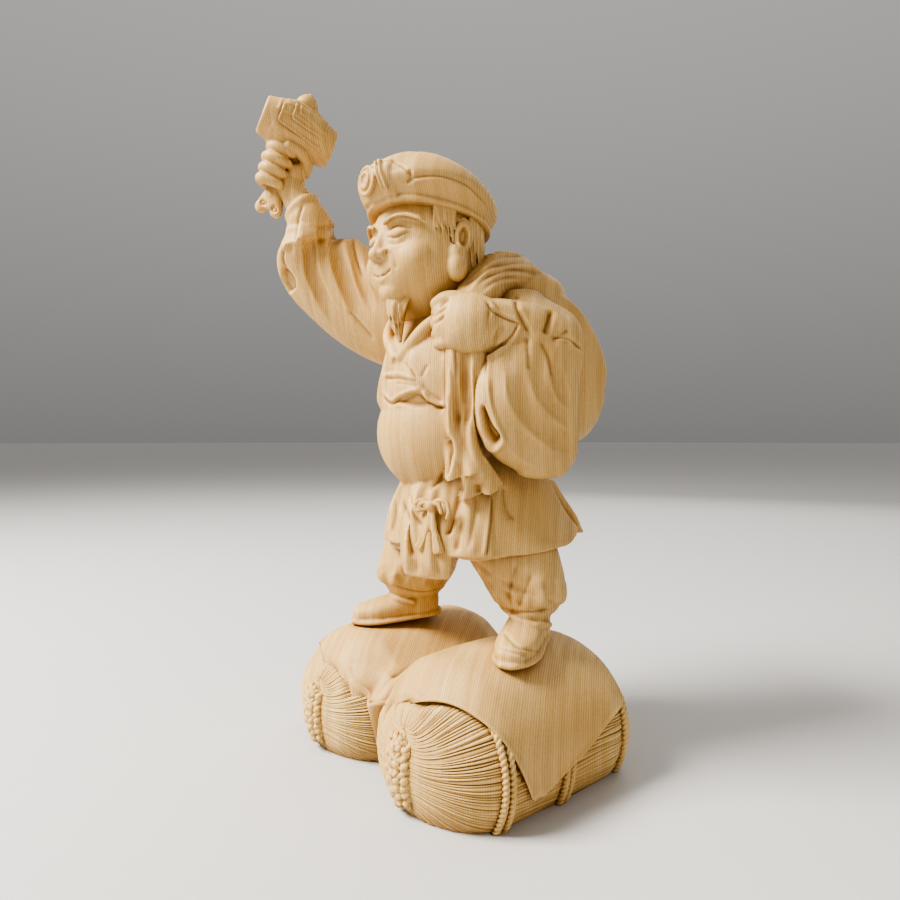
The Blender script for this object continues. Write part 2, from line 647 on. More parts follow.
def boot(side, ankle, turn, tip):
    """A soft boot on a sole with a proud rim, made heel to toe along -Y, then turned out and
    tipped with the bale's curve."""
    upper = [[1, 5.4, 6.2, 5.4], [9, 6.6, 7.6, 6.6], [19, 5.4, 8.2, 5.6], [28, 4.6, 7.8, 4.8],
             [34, 4.2, 5.6, 3.9]]
    sole = [[-1.5, 1, 4.8, 1.5], [3, 1, 7.2, 1.7], [14, 1, 8.6, 1.8], [26, 1, 9.4, 1.8],
            [33, 1.2, 7.6, 1.7], [37.5, 1.5, 4, 1.4]]

    def rows(table):
        return [[0, 9 - along, rise, height, width] for along, rise, width, height in table]

    wrap = [[-8, 2, 14, 1.2, 1.4], [-4, -8.5, 12.5, 1.2, 1.4], [5, -10, 10.5, 1.2, 1.4], [9, -2, 8, 1.2, 1.4]]
    whole = joined([
        loft([[0, 0, 4, 8, 10], [0.3, 0.6, 9, 7.8, 9.8], [0.5, 1, 15, 8.6, 10.4]], level=True,
             folds=[(0, 1, 250, 235, 10, -0.5), (0.2, 1, 300, 330, 9, 0.5)]),
        loft(rows(upper), square=2.2, caps=(0.4, 0.9)),
        loft(rows(sole), square=2.4, caps=(0.5, 0.9)),
        loft(wrap, around=24),
    ])
    origin = np.array([side * BALE_X + ankle[0], ankle[1], -0.8])
    return placed(whole, origin, *axes_of(turn, tip))


def trouser(rows, folds):
    """One baggy trouser leg, gathered at its foot in a thick rolled cuff."""
    x, y, z, a, b = rows[0]
    gathers = [(0, 0.35, middle, middle + 6, 6, 0.7) for middle in range(0, 360, 24)]
    cuff = [[x, y, z - 2.2, a - 2.2, b - 2.2], [x, y, z - 0.8, a - 0.2, b - 0.2],
            [x, y, z + 1.2, a + 0.9, b + 0.9], [x, y, z + 3.2, a - 1, b - 1]]
    return joined([
        loft(rows, level=True, around=160, folds=list(folds) + gathers),
        loft(cuff, level=True, around=120, step=0.4, caps=(0.1, 0.1)),
    ])


def legs():
    """Both boots and both trouser legs."""
    near = [
        (0, 0.5, 250, 285, 12, 1.6), (0, 0.45, 300, 275, 9, -1.3), (0, 0.5, 330, 345, 12, 1.4),
        (0, 0.45, 20, 10, 12, 1.3), (0, 0.4, 90, 95, 14, 1.3), (0, 0.45, 170, 160, 14, 1.2),
        (0.25, 0.6, 330, 240, 10, -1.2)]
    far = [
        (0, 0.45, 250, 262, 12, 1.5), (0, 0.5, 290, 300, 12, 1.4), (0, 0.5, 200, 190, 12, 1.3),
        (0, 0.45, 340, 330, 12, 1.2), (0, 0.4, 70, 80, 14, 1.2), (0, 0.45, 130, 120, 14, 1.2)]
    return joined([
        boot(1, (4.3, 6), 28, 6),
        boot(-1, (7.7, -6), -27, 5),
        trouser([[33.5, 7.5, 13.5, 11.8, 12.6], [32.3, 8, 17.5, 14.6, 15.2], [28.8, 7.8, 24, 17, 17.4],
                 [24, 7, 33, 19, 18.8], [20, 8, 44, 18, 17.5], [16, 8, 54, 15, 15.5]], near),
        trouser([[-24, -6, 13.5, 12.6, 14], [-24, -6, 18, 15.6, 16.6], [-23, -5, 24, 17.4, 17.8],
                 [-20, -3, 34, 18, 17.8], [-16, -1, 44, 16.5, 17], [-13, 1, 54, 15, 15]], far),
    ])


def skirt():
    """The robe's skirt: a shell that flares in soft pleats to a waving hem, and turns back up
    inside it. Its rings run down the outside and up the inside."""
    table = [[3, 10.5, 34, 41, 41], [2.5, 9.5, 42, 38, 38.5], [1.5, 8, 52, 34.5, 35],
             [0.5, 6.5, 64, 30.5, 31.5], [0, 5, 76, 27, 28]]
    t = np.concatenate([np.linspace(1, 0, 90), [0, 0], np.linspace(0, 0.4, 24)])
    inset = np.concatenate([np.zeros(90), [0.6, 1.6], np.full(24, 2.2)])[:, None]
    line = spline(table, t)
    x, y, z, a, b = (line[:, n : n + 1] for n in range(5))
    degrees = (np.arange(300) / 300 * 360)[None, :]
    angle = np.radians(degrees)
    pleats = [(0, 0.8, k * 30 + 8 * np.sin(k * 2.1), k * 30, 8, 1.4 if k % 2 else -1.5)
              for k in range(12)]
    lift = fold_lift(pleats, t[:, None], degrees) - inset
    wave = 1.3 * np.sin(5 * angle + 2.0) + 0.6 * np.sin(9 * angle)
    wave = wave + HEM_RISE * np.exp(-(((degrees - HEM_CORNER) / 16) ** 2))
    hem = wave * np.clip(1 - t[:, None] * 2.2, 0, 1) ** 1.5
    skin = xyz(x + (a + lift) * np.cos(angle), y + (b + lift) * np.sin(angle), z + hem)
    return closed_grid(skin + STAND)


def hanging(turn, around, foot, rows, *folds):
    """A flat length of cloth that hangs from its last row down to a domed foot, with folds
    (first and last angle, width, height) over its whole length."""
    folds = [(0, 1, first, last, width, height) for first, last, width, height in folds]
    return loft(rows, level=True, turn=turn, around=around, folds=folds, caps=(foot, 0))


def panels():
    """The apron under the belly, the robe's two front panels and its tail behind."""
    return joined([
        hanging(22, 160, 0.4, [[14, -28.5, 25.5, 10.5, 2.4], [14.5, -29.5, 34, 11.5, 3.2],
                               [12.5, -27, 48, 11, 4], [9.5, -20.5, 64, 9, 4.5]],
                (250, 262, 10, -1.5), (290, 282, 9, 1.1), (230, 244, 8, 1.1), (310, 300, 8, -1.0)),
        hanging(42, 140, 0.3, [[30.5, -20.5, 34.5, 9, 2.6], [27, -18.5, 46, 9, 3.4],
                               [20.5, -13, 64, 8, 4.2]], (275, 270, 14, 1.3), (235, 245, 9, -0.9)),
        hanging(-14, 140, 0.3, [[-7, -29.5, 37, 11, 2.6], [-6.5, -26.5, 50, 10, 3.4],
                                [-4.3, -20.6, 64, 8, 4]], (262, 268, 10, 1.3), (292, 285, 8, -1.0)),
        hanging(8, 96, 0.3, [[8, 52, 36, 15, 3], [7, 46, 46, 14, 4.5], [6, 38, 60, 11, 6]],
                (80, 90, 12, 1.2)),
    ])


def sash():
    """The sash's soft bow on the apron: two looped bands, a knot, and two ends that widen into
    tassels. It is made round the knot and turned to face the apron's way."""
    brushes = [(0.55, 1, a, a, 14, 0.45) for a in range(0, 360, 60)]
    parts = [lump((0, -1.2, 0), (2.0, 1.8, 2.0))]
    bands = (
        ([0, 0, 0], [-3.5, -1.0, 2.0], [-6.5, -1.0, 0.6], [-6.2, -0.8, -2.0], [-3.2, -0.6, -1.6],
         [-0.5, 0, -0.4]),
        ([0, 0, 0], [3.2, -1.0, 2.2], [7.0, -0.8, 1.2], [8.0, -0.6, -2.2], [7.2, -0.2, -4.6]),
        ([-0.5, 0, -0.5], [1.5, -1.0, 0.8], [3.9, -1.0, 0.2], [4.8, -0.6, -2.6]),
        ([-0.6, 0, 0.4], [-2.4, -1.2, 1.0], [-4.4, -1.2, 0.0], [-4.2, -0.8, -1.6]),
    )
    for band in bands:
        rows = [[x, y, z, 0.85, 1.0] for x, y, z in band]
        parts.append(loft(rows, around=30, step=0.3, caps=(0.6, 0.6)))
    ends = (
        [[-0.4, 0, -1, 1.1, 1.0], [-0.8, -0.2, -7, 1.3, 1.1], [-2.6, -0.2, -13, 1.4, 1.2],
         [-4.4, -0.2, -16.5, 2.2, 1.6]],
        [[0.4, 0, -1, 1.1, 1.0], [1.2, -0.2, -7, 1.3, 1.1], [2.6, 0, -12, 1.4, 1.2],
         [4.0, 0.2, -17.5, 2.2, 1.6]],
    )
    parts += [loft(rows, around=60, step=0.4, caps=(0.2, 0.3), folds=brushes) for rows in ends]
    return placed(joined(parts), BOW_PLACE, *axes_of(BOW_TURN, -6))


def torso():
    """The trunk with the bare round belly, and the robe over chest and back, which ends above
    the belly in two gathered flaps."""
    trunk = [[0, 4, 56, 26, 27], [0, 2, 70, 27, 26], [0, -3, 88, 28, 25], [0, -4, 106, 28.5, 25],
             [0, -3, 120, 27, 22], [0, -3, 130, 21, 17], [0, -6, 137, 13, 13]]
    robe = [[0, -6, 91, 29.4, 29], [0, -6.5, 97, 29.4, 28.6], [0, -7, 104, 29.8, 27.2],
            [0, -6, 116, 29, 25], [0, -4, 126, 25.5, 20.5], [0, -3, 134, 17, 15]]
    folds = [(0, 0.7, 236, 262, 7, 1.3), (0, 0.6, 300, 285, 7, 1.2), (0, 0.5, 268, 262, 6, -1.2)]
    flaps = ([[-21, -21, 128, 2.6, 2.2], [-12, -29, 120, 2.6, 2.2], [-1, -32.8, 110, 2.4, 2]],
             [[20, -20, 128, 2.6, 2.2], [12, -28, 121, 2.6, 2.2], [2, -32.8, 110, 2.4, 2]])
    return joined([
        loft(trunk, level=True, around=140),
        lump((0, -10.5, 81), (28, 26, 26), around=160),
        loft(robe, level=True, around=200, folds=folds, caps=(0.05, 0.3)),
        loft(flaps[0], around=40),
        loft(flaps[1], around=40),
    ])


def strips():
    """Two strips of the sack's cloth that fall beside the belly and end in ruffles."""
    return joined([
        hanging(38, 150, 0.3, [[24.6, -20, 68, 4.4, 3.2], [24.4, -21.4, 76, 4.2, 3.6],
                               [22.8, -23, 84, 4.2, 4], [23.5, -22, 100, 5, 4],
                               [23, -22, 116, 5, 3.5]], (262, 270, 22, 1.3), (225, 235, 12, -0.8)),
        hanging(46, 150, 0.3, [[29.6, -14.6, 62, 4.6, 3.4], [28.6, -17, 70, 4.4, 3.8],
                               [27.6, -19, 82, 3.8, 4], [29.2, -17.6, 94, 4.6, 4],
                               [28.4, -17, 116, 5, 3.5]], (285, 270, 22, 1.3), (240, 240, 12, -0.8)),
        ruffle((24.2, -22.6, 78), (26.6, -21.8, 64.5), 38, 13, 0.6),
        ruffle((29.0, -17.6, 72), (31.2, -14.8, 58), 46, 15, 2.4),
    ])


def ruffle(top, foot, turn, width, phase):
    """A strip's end in ruffles: each level is a thin band along a sine curve, whose width and
    waves grow towards the foot, and whose hem rises and falls with the folds."""
    t = np.linspace(0, 1, 46)[:, None]
    u = np.concatenate([np.linspace(-1, 1, 90), np.linspace(1, -1, 90)])[None, :]
    side = np.concatenate([-np.ones(90), np.ones(90)])[None, :]
    wave = np.sin(u * 5.2 + phase + 0.5 * t)
    across = u * width / 2 * (0.55 + 0.45 * t) + 1.1 * t * np.cos(u * 5.2 + phase)
    deep = side * (1.9 - 0.7 * t) + RUFFLE_DEPTH * t**1.2 * wave
    middle = np.array(top) + (np.array(foot) - np.array(top)) * t[..., None]
    hem = t * (1.5 * wave + 1.8 * u)
    way = np.radians(turn)
    x = across * np.cos(way) - deep * np.sin(way)
    y = across * np.sin(way) + deep * np.cos(way)
    return closed_grid(middle + xyz(x, y, hem) + STAND)


def sack():
    """The full sack on the back, and its neck drawn over the left shoulder in long folds."""
    folds = [(0.5, 1, 300, 310, 12, 1.8), (0.5, 1, 345, 340, 12, 1.8), (0.45, 1, 30, 15, 12, 1.8),
             (0.45, 1, 70, 60, 12, 1.6)]
    folds += [(0.7, 1, a, a * 0.96, 7, 0.7) for a in range(100, 300, 22)]
    drawn = [(0, 1, 330, 335, 14, 0.6), (0, 1, 10, 5, 12, -0.5), (0, 1, 45, 40, 14, 0.6),
             (0, 1, 290, 300, 14, 0.8), (0, 1, 70, 66, 8, -0.5)]
    body = [[4, 40, 74, 15, 16], [4, 42, 82, 25, 25], [4, 42.5, 96, 31, 30], [4.5, 40, 114, 31, 29.5],
            [6, 34, 129, 27, 26], [9, 26, 140, 20.5, 20.5]]
    neck = [[7, 30, 134, 17, 18], [11, 20, 143.5, 13, 14], [16, 8, 145.5, 10.5, 11], [21, -4, 141, 9, 9],
            [25, -13, 132, 8, 8], [26, -18, 126, 7, 7]]
    return joined([
        loft(body, level=True, around=220, folds=folds, caps=(0.6, 0.6)),
        loft(neck, around=140, folds=drawn),
    ])


def left_sleeve():
    """The left arm's wide sleeve, which hangs in deep curved folds below the bent forearm."""
    drapes = [(0, 1, 224, 254, 14, 0.5), (0, 1, 246, 269, 12, -0.5), (0.05, 1, 269, 282, 12, 0.6),
              (0.1, 1, -68, -64, 12, -0.8), (0.15, 1, -46, -51, 12, 1.2), (0, 1, 199, 239, 9, -0.4)]
    rows = [[41, 7, 66, 11, 6.5], [39.8, 4.6, 72, 18, 9.5], [38.2, 1.9, 84, 22.3, 11],
            [37.3, 2.4, 99, 22.8, 11.8], [37, 8.5, 115, 20, 12.5], [33, 11, 126, 17, 13],
            [24, 11, 136, 10, 10]]
    arm = [[40, 16, 116, 12, 11], [36, 2, 119, 12, 10.5], [31, -10, 121, 11, 9.5], [28.5, -15, 122, 9.5, 8.5]]
    return joined([
        loft(rows, level=True, turn=76, around=200, folds=drapes, caps=(0.5, 0.3)),
        loft(arm, around=120, folds=[(0.5, 1, 60, 40, 14, 1), (0.4, 1, 300, 320, 14, 1)]),
    ])


def right_sleeve():
    """The raised right arm's wide sleeve, with the undersleeve in its mouth and a rolled cuff."""
    folds = [(0.1, 1, 200, 250, 12, 0.6), (0.1, 1, 220, 275, 10, -0.6), (0.15, 1, 240, 295, 10, 0.6),
             (0.2, 1, 262, 315, 10, -0.6), (0.25, 1, 285, 330, 10, 0.5), (0.1, 1, 100, 80, 12, 1.5),
             (0.1, 1, 140, 120, 12, 1.4)]
    rows = [[-16, -2, 124, 19, 14], [-30, -12, 132, 21.5, 14.5], [-40, -21.5, 139.5, 21.5, 13.5],
            [-48, -31, 149, 20.5, 12.5], [-53, -38, 157.5, 19.5, 11.5], [-54.5, -41.5, 165, 16.5, 10.8],
            [-53.5, -43, 172.5, 12, 10.2]]
    under = [[-51.5, -42, 170, 10.2, 9.8], [-53, -44.5, 176, 9.4, 9.2], [-54, -46, 180, 8.2, 8]]
    cuff = [[-53.4, -45, 178.6, 6.8, 6.8], [-53.9, -45.6, 179.6, 8.6, 8.4], [-54.9, -46.8, 181.6, 8.8, 8.6],
            [-55.4, -47.4, 182.6, 7, 7]]
    wrist = [[-54, -46, 179, 6.4, 6.2], [-57, -48.5, 187, 6.2, 6.2], [-60, -50, 193, 7, 6.6]]
    return joined([
        loft(rows, around=200, folds=folds, caps=(0.2, 0.3)),
        loft(under, around=90, caps=(0.2, 0.1)),
        loft(cuff, around=90, step=0.4, caps=(0.1, 0.15)),
        loft(wrist, around=90),
    ])


def fist():
    """A right fist round a grip along its third axis: a palm, four curled fingers that start
    on its first axis' positive side and end in front, each a little shorter the further it
    is from the second, the heel of the thumb, and a thumb over them."""
    parts = [
        loft([[-1, 3, -10, 7.5, 6.5], [-1.5, 3, 0, 9, 7], [-2, 3, 10, 7.5, 6.5]],
             level=True, caps=(0.4, 0.4)),
        lump((-6.5, -1.5, 2), (5.6, 5.2, 8.5), around=60),
    ]
    for finger in range(4):
        z = 5.3 * finger - 8
        reach = 1 - 0.05 * abs(finger - 1)
        rows = [[6.5, 6, z, 2.8, 2.9], [8.8 * reach, 0, z, 2.9, 3.0], [7.6 * reach, -5.4, z, 2.75, 2.85],
                [4.4, -9.2 * reach, z, 2.8, 2.9], [0.2, -9.8 * reach, z, 2.5, 2.65],
                [-2.6, -8.2, z, 2.4, 2.5], [-3.6, -6.6, z, 2.2, 2.3]]
        parts.append(loft(rows, around=48, step=0.5, caps=(0.6, 0.9)))
    thumb = [[-8, 3, -4, 4.4, 4.4], [-9.5, -1.5, -8.5, 3.4, 3.5], [-6.5, -6.5, -10.4, 2.9, 3.0],
             [-1.5, -9.4, -10.6, 2.5, 2.7]]
    return joined(parts + [loft(thumb, around=48, caps=(0.6, 0.9))])


def right_fist():
    """The fist that holds the mallet's handle, at FIST_SCALE of the tables. Its third axis runs
    down the handle, and its first leans towards FIST_WAY."""
    points, faces = fist()
    second = unit(np.cross(-MALLET_UP, FIST_WAY))
    axes = np.cross(second, -MALLET_UP), second, -MALLET_UP
    return placed(((points - STAND) * FIST_SCALE + STAND, faces), GRIP_PLACE, *axes)


def left_fist():
    """The hand that holds the sack's neck: its smooth broad back, and four fingers and a thumb
    that curl round the cloth towards the chest."""
    parts = [
        loft([[32.5, -12, 121, 10, 9], [29.5, -15.5, 121.2, 11.8, 10.2], [26, -19.4, 121.8, 12, 10],
              [22.6, -22.8, 122.4, 10.8, 8.2], [20, -25.2, 122.6, 8.6, 5.4]], around=110, caps=(0.3, 0.7)),
        loft([[27, -20, 130, 4, 4], [22, -25, 131, 3.2, 3.2], [18, -27, 129.5, 2.6, 2.7]],
             around=40, caps=(0.6, 0.9)),
    ]
    for finger in range(4):
        z = 127 - 4.1 * finger
        out = 0.5 * abs(finger - 1)
        rows = [[24.4, -24.6, z, 2.9, 2.9], [20.4, -27.2 + out, z, 2.5, 2.6],
                [16.2, -26.2 + out, z - 0.6, 2.1, 2.2]]
        parts.append(loft(rows, around=40, caps=(0.6, 0.9)))
    return joined(parts)


def drum():
    """The mallet's drum: a barrel whose radius is a parabola of its length, with plates laid
    over it in steps, each a smaller rectangle of length and turn, above and below."""
    y = np.linspace(-0.5, 0.5, 150)[:, None] * DRUM_LENGTH
    angle = (np.arange(240) / 240 * 2 * np.pi)[None, :]
    radius = 10.6 - 2.4 * (2 * y / DRUM_LENGTH) ** 2 + 0 * angle
    from_top = np.degrees(np.arccos(np.abs(np.sin(angle)))) / 90
    for length, turn in ((0.72, 0.80), (0.54, 0.56), (0.38, 0.36), (0.25, 0.2)):
        along = (length / 2 - np.abs(y / DRUM_LENGTH)) * DRUM_LENGTH
        around = (turn - from_top) * 16
        radius = radius + PLATE_STEP * fade(np.minimum(along, around) / 0.35 + 0.5)
    skin = xyz(radius * np.cos(angle), y, radius * np.sin(angle))
    rim = skin[[0, -1]] * [0.93, 1, 0.93] + np.array([[[0, -0.7, 0]], [[0, 0.7, 0]]])
    skin = np.concatenate([rim[:1], skin, rim[1:]])
    return closed_grid(skin + STAND)


def mallet():
    """The lucky mallet: its drum and jewel on a handle, which ends in a scrolled paddle."""
    scrolls = joined([lump((x, 0, -35.5), (3.2, 1.9, 3.2)) for x in (-4.2, 4.2)])
    whole = joined([
        drum(),
        loft([[0, 0, 11, 4.6, 4.6], [0, 0, 12.8, 4.9, 4.9], [0, 0, 15.2, 3.4, 3.4],
              [0, 0, 17.2, 0.8, 0.8]], level=True, step=0.3, caps=(0, 0.5)),
        loft([[0, 0, -30, 2.7, 2.7], [0, 0, -8, 2.7, 2.7]], level=True),
        loft([[0, 0, -35.5, 6.2, 1.9], [0, 0, -33.5, 6.6, 2.1], [0, 0, -29, 5.0, 2.4], [0, 0, -24, 3, 2.5]],
             level=True, turn=PADDLE_TURN, square=2.6, caps=(0.3, 0.1)),
        placed(scrolls, np.zeros(3), *axes_of(PADDLE_TURN)),
    ])
    side = unit(np.cross(DRUM_WAY, MALLET_UP))
    return placed(whole, MALLET_PLACE, side, np.cross(MALLET_UP, side), MALLET_UP)


def locks(roots, tips, bulge, radius, sway, random):
    """Locks of hair, each a tapered cord of three strands on a curve from its root to its tip,
    pushed out by a bulge in its middle and swayed sideways by a wave."""
    made = []
    t = np.linspace(0, 1, 26)[:, None]
    for root, tip in zip(roots, tips):
        out = unit(np.array([root[0] * 0.4, -20.0, 0]))
        wave = np.sin(t * 6.3 * random.uniform(0.7, 1.3) + random.uniform(0, 6.3))
        path = root + (tip - root) * t + out * bulge * np.sin(np.pi * t)
        path = path + np.array([1.0, 0, 0]) * sway * wave * t
        size = radius * (1 - 0.8 * t[:, 0] ** 1.5)
        made.append(tube(path + STAND, np.broadcast_to(out, path.shape), size, around=12, lobes=3,
                         pitch=30, depth=0.25, phase=random.uniform(0, 6)))
    return joined(made)


def head():
    """A plump head of traditional type, calm, with heavy lids and long lobes."""
    skull = [[0, -9, 126, 14, 14], [0, -15, 132, 16, 17], [0, -18.5, 138, 19.5, 20.5],
             [0, -19, 146, 21.8, 22.2], [0, -17.5, 155, 21.6, 23], [0, -16, 164, 20.6, 23.4],
             [0, -15, 174, 19, 21]]
    parts = [loft(skull, level=True, around=180, step=0.5)]
    for side in (-1, 1):
        parts += [
            lump((side * 10, -30.5, 147), (9.4, 8.6, 9), side * 20, around=80),
            lump((side * 8.6, -37.2, 156.4), (4.6, 2.6, 2.6), side * 24, around=60),
            loft([[side * 3, -39.4, 160.6, 1.2, 1.2], [side * 9, -37.9, 162.4, 1.5, 1.3],
                  [side * 16, -32.6, 160.5, 1, 1]], around=40, caps=(0.5, 0.5)),
            lump((side * 3.0, -41.0, 149.3), (2.5, 2.7, 2.0), around=50),
            lump((side * 22, -17.5, 156), (2.4, 4.6, 7.4), side * -24, -8, around=80),
            lump((side * 22.6, -20, 148.6), (2.6, 3.6, 5), around=60),
            lump((side * 22.8, -20.6, 143.4), (3.6, 4.2, 5.6), around=70),
        ]
    parts += [
        loft([[0, -42.2, 149.6, 2.5, 2.6], [0, -41.2, 153, 2, 2.2], [0, -39.2, 158, 1.6, 2],
              [0, -38, 163, 2, 2]], level=True, around=60, caps=(0.5, 0.5)),
        lump((0, -43, 149.6), (3, 2.5, 2.6), around=60),
        lump((0, -33.5, 136.2), (7.5, 6, 5), around=80),
        loft([[-5.4, -37.0, 143.4, 1, 1], [-1.6, -39.6, 142.6, 1.3, 1.3], [0, -39.7, 142.3, 1.1, 1.2],
              [1.6, -39.6, 142.6, 1.3, 1.3], [5.4, -37.0, 143.4, 1, 1]], around=40, caps=(0.5, 0.5)),
        loft([[-4.6, -37.0, 142.4, 1, 1], [0, -39.2, 139.9, 1.5, 1.6], [4.6, -37.0, 142.4, 1, 1]],
             around=40, caps=(0.5, 0.5)),
    ]
    return joined(parts)


def beard():
    """A pointed beard: a narrow cone below the chin under many fine locks, which draw together
    to a wavy point."""
    random = np.random.default_rng(7)
    cone = [[0, -31.0, 137, 4.6, 4.6], [0.4, -32.6, 131, 3.8, 4.0], [1.0, -33.0, 125, 2.8, 2.8],
            [1.7, -33.0, 120, 1.7, 1.6], [2.2, -32.8, 116, 0.7, 0.7]]
    made = [loft(cone, level=True, around=60, caps=(0.5, 0.8))]
    for count, width, front, reach, size in ((17, 6.4, -35.0, 20.5, 0.95), (11, 4.6, -36.6, 17.0, 0.85)):
        share = np.linspace(-1, 1, count)
        away = np.abs(share)
        roots = xyz(0.6 + share * width, front + 3.6 * share**2, 135.6 - 1.6 * away)
        tips = xyz(2.2 + share * 1.5, front + 1.6 + 0.6 * away, 136 - reach * (1 - 0.36 * away**1.2))
        made.append(locks(roots, tips, 1.3, size, 1.0, random))
    return joined(made)


def hair():
    """The hair at the temples and behind the ears: fine wavy locks combed down from the cap."""
    random = np.random.default_rng(9)
    made = []
    for side in (-1, 1):
        for start, stop, count, foot in ((189, 210, 13, 153.5), (122, 170, 26, 144)):
            turn = np.radians(np.linspace(start, stop, count))
            roots = xyz(side * np.abs(21.6 * np.cos(turn)), -17 + 22.6 * np.sin(turn), 167.5)
            tips = roots * [0.985, 1, 0] + [0, 0.6, 0]
            tips[:, 2] = foot + random.uniform(-4.0, 4.0, count)
            made.append(locks(roots, tips, 0.3, 0.8, 0.9, random))
    return joined(made)


def brows():
    """Bushy brows: a row of short slanted tufts over each eye."""
    random = np.random.default_rng(5)
    made = []
    for side in (-1, 1):
        share = np.linspace(0, 1, 13)
        roots = xyz(side * (3.6 + 12 * share), -40.9 + 6.4 * share**1.6, 160.6 + 2.4 * np.sin(share * 2.6))
        tips = roots + xyz(side * 3.4, 0.4 + 2.2 * share, 1.3 - 4.6 * share)
        made.append(locks(roots, tips, 0.8, 0.85, 0.2, random))
    return joined(made)


def cap():
    """The soft round cap: a crown that overhangs a narrow rolled band, with an upright panel in
    front that bears a round badge of rings and two ribs. It rises as it goes forward."""
    crown = [[0, -16.4, 167, 22.9, 25], [0, -16.4, 169.2, 24.6, 26.8], [0, -16.6, 172.2, 26.2, 28.7],
             [0, -16.8, 175, 26.6, 29.0], [0, -17, 178.4, 25.2, 27.2], [0, -17.5, 182.8, 21.5, 22.8],
             [0, -18.5, 187.2, 15, 15.6], [0, -19, 189.3, 7.5, 8], [0, -19, 189.8, 2.5, 2.6]]
    folds = [(0.3, 0.8, 300, 312, 8, -0.6)]
    panel = [[0, -40.0, 167, 10.0, 3.6], [0, -41.8, 171.5, 11, 4.0], [0, -42.4, 175.6, 11, 3.8],
             [0.3, -41.4, 178.4, 10.4, 3.2]]
    band = [[0, -16.5, 164.6, 22.4, 24.6], [0, -16.5, 165.0, 23.5, 25.7], [0, -16.5, 165.9, 23.8, 26.0],
            [0, -16.5, 166.8, 23.4, 25.6], [0, -16.5, 167.2, 22.4, 24.6]]
    parts = [
        loft(crown, level=True, around=240, folds=folds, caps=(0, 0.1), step=0.5),
        loft(band, level=True, around=240, step=0.3, caps=(0, 0)),
        loft(panel, level=True, around=160, square=2.5, caps=(0.2, 0.9), step=0.5),
        lump((0, -46.0, 172.4), (5.2, 1.4, 5.2), around=80),
    ]
    ring = np.radians(np.linspace(0, 360, 80))
    for width, height in ((4.9, 5.1), (2.6, 2.8)):
        rise = height * np.sin(ring)
        lift = -47.5 if width < 4 else -46.8  # the inner ring stands further out
        path = xyz(width * np.cos(ring), lift, 172.4 + rise)
        parts.append(tube(path + STAND, np.broadcast_to([0, -1.0, 0], path.shape), 0.7, depth=0.0))
    for x, foot in ((7.0, 168.2), (9.2, 167.8)):
        rib = [[x, -44.6 + x * 0.14, foot, 0.55, 1.2], [x - 0.6, -46.6 + x * 0.12, 173.6, 0.55, 1.2],
               [x - 2.2, -46.2 + x * 0.12, 178.6, 0.55, 1.2]]
        parts.append(loft(rib, level=True, around=30, caps=(0.5, 0.5)))
    points, faces = joined(parts)
    points[:, 2] -= CAP_TIP * (points[:, 1] - STAND[1] - CAP_MIDDLE)
    return points, faces


# The wood: lengths in metres, scales in cells per metre, and colours
RING_TURN = np.radians(37.4)  # the rings' planes, from +X
RING_SPACING = 0.0008
RING_SCALE = 2 * np.pi / 20 / RING_SPACING  # the phase grows by 20 times the scale in a metre
RING_SHARE = 0.72
FIBRE = (4200.0, 3.0, 0.55)  # a noise's scale, detail and roughness
FIBRE_SHARE = 0.42
PORES = (1500.0, 5.0, 0.7)
PORE_SHARE = 0.24
STREAKS = (380.0, 3.0, 0.65)
STREAK_SHARE = 0.4
TONE = (26.0, 3.0, 0.55)
MARKS = (700.0, 3.0, 0.55)
ALONG_GRAIN = (1.0, 1.0, 0.03)  # drawn out up the block's length
ALONG_RINGS = (1.0, 0.06, 0.03)  # drawn out in the rings' planes
WARM = (0.56, 0.34, 0.12, 1)
WORN = (0.80, 0.58, 0.27, 1)
CREASE = (0.24, 0.10, 0.028, 1)
SHADE = (0.31, 0.155, 0.052, 1)
SHELTER_REACH = 9.0 * MM
GLOSS = 0.32
SKIN_DEPTH = (0.0016, 0.0008, 0.0004)
BUMP_HEIGHT = 0.00012


